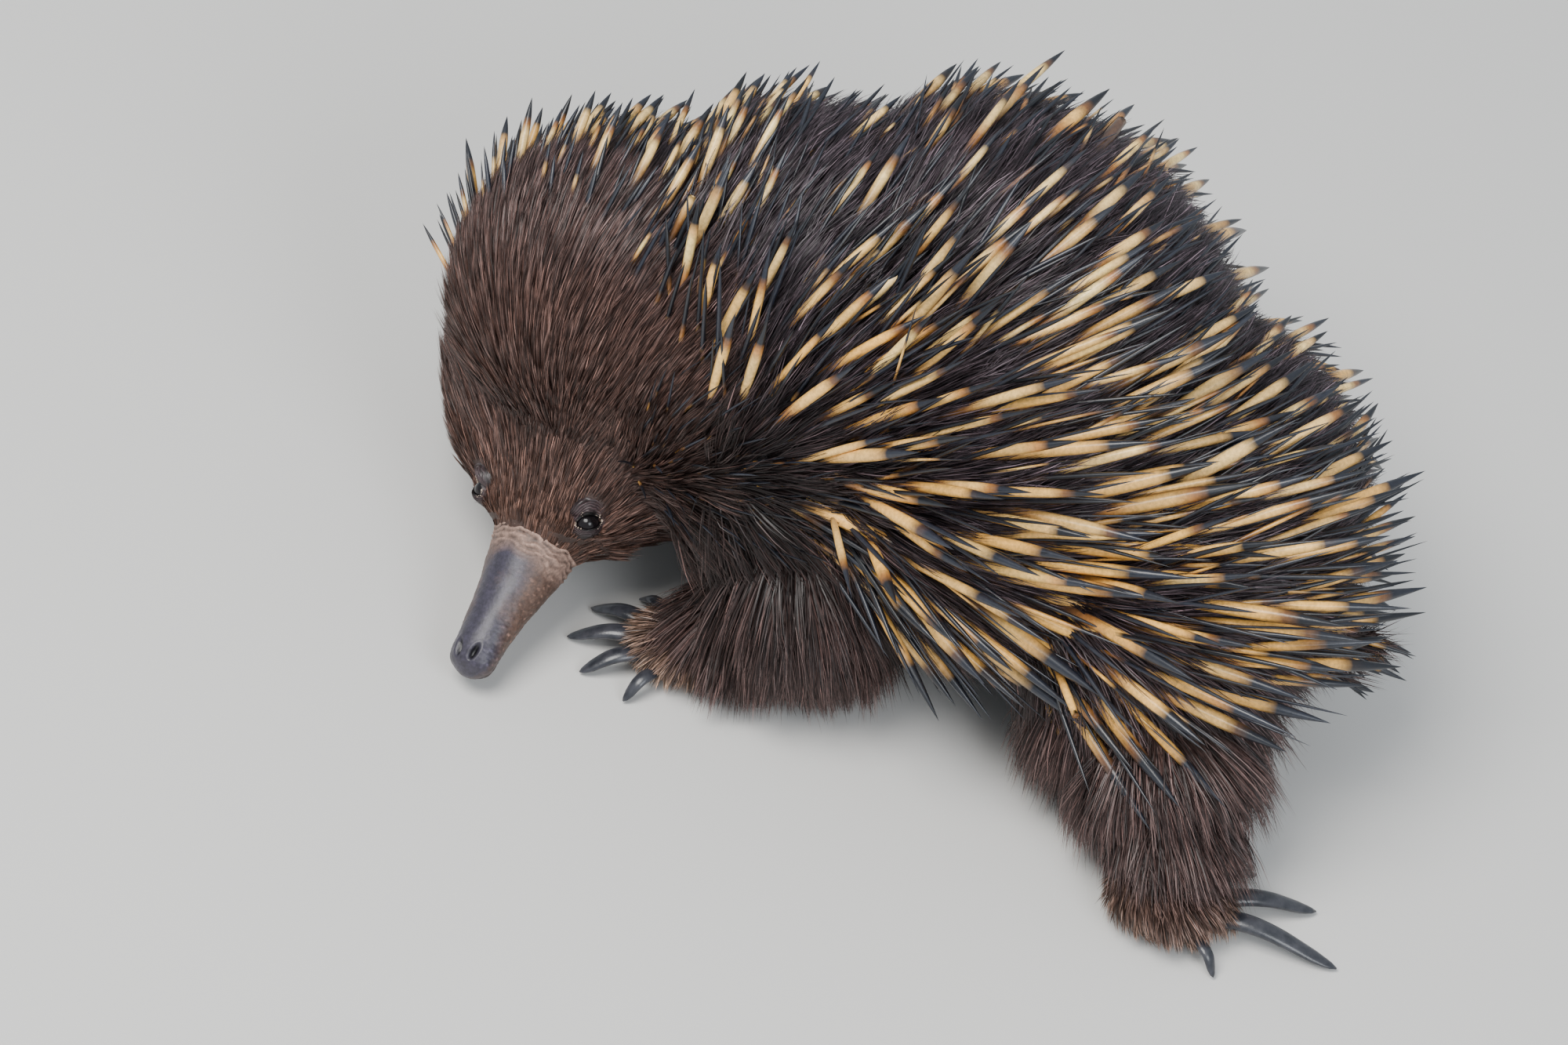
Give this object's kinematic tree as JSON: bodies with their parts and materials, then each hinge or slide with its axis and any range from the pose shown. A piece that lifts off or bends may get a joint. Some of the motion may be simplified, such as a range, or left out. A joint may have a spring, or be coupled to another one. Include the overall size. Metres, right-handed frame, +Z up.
{
  "type": "echidna animal model",
  "caption": "Still life-size echidna standing with its head turned and bowed, long beak to the floor, strong digging claws and a back of spines.",
  "frame": {"origin": "on the floor, under the middle of the model's box", "axes": "+Z up, the back runs along +Y to the tail, the head is turned towards +X"},
  "size_m": [0.2772, 0.3158, 0.1764],
  "materials": {
    "coat": "dark brown hair over skin",
    "spiny": "cream spines with dark tips over dark brown hair",
    "beak": "smooth bare blue-grey skin",
    "claw": "dark grey horn",
    "eye": "wet black"
  },
  "bodies": {
    "root": {"beak": "beak", "eye_left": "eye", "eye_right": "eye", "foreclaw_left_1": "claw", "foreclaw_left_2": "claw", "foreclaw_left_3": "claw", "foreclaw_left_4": "claw", "foreclaw_left_5": "claw", "foreclaw_right_1": "claw", "foreclaw_right_2": "claw", "foreclaw_right_3": "claw", "foreclaw_right_4": "claw", "foreclaw_right_5": "claw", "foreleg_left": "coat", "foreleg_right": "coat", "head": "coat", "hindclaw_left_1": "claw", "hindclaw_left_2": "claw", "hindclaw_left_3": "claw", "hindclaw_left_4": "claw", "hindclaw_left_5": "claw", "hindclaw_right_1": "claw", "hindclaw_right_2": "claw", "hindclaw_right_3": "claw", "hindclaw_right_4": "claw", "hindclaw_right_5": "claw", "hindleg_left": "coat", "hindleg_right": "coat", "neck": "spiny", "tail": "spiny", "torso": "spiny"}
  },
  "joints": []
}
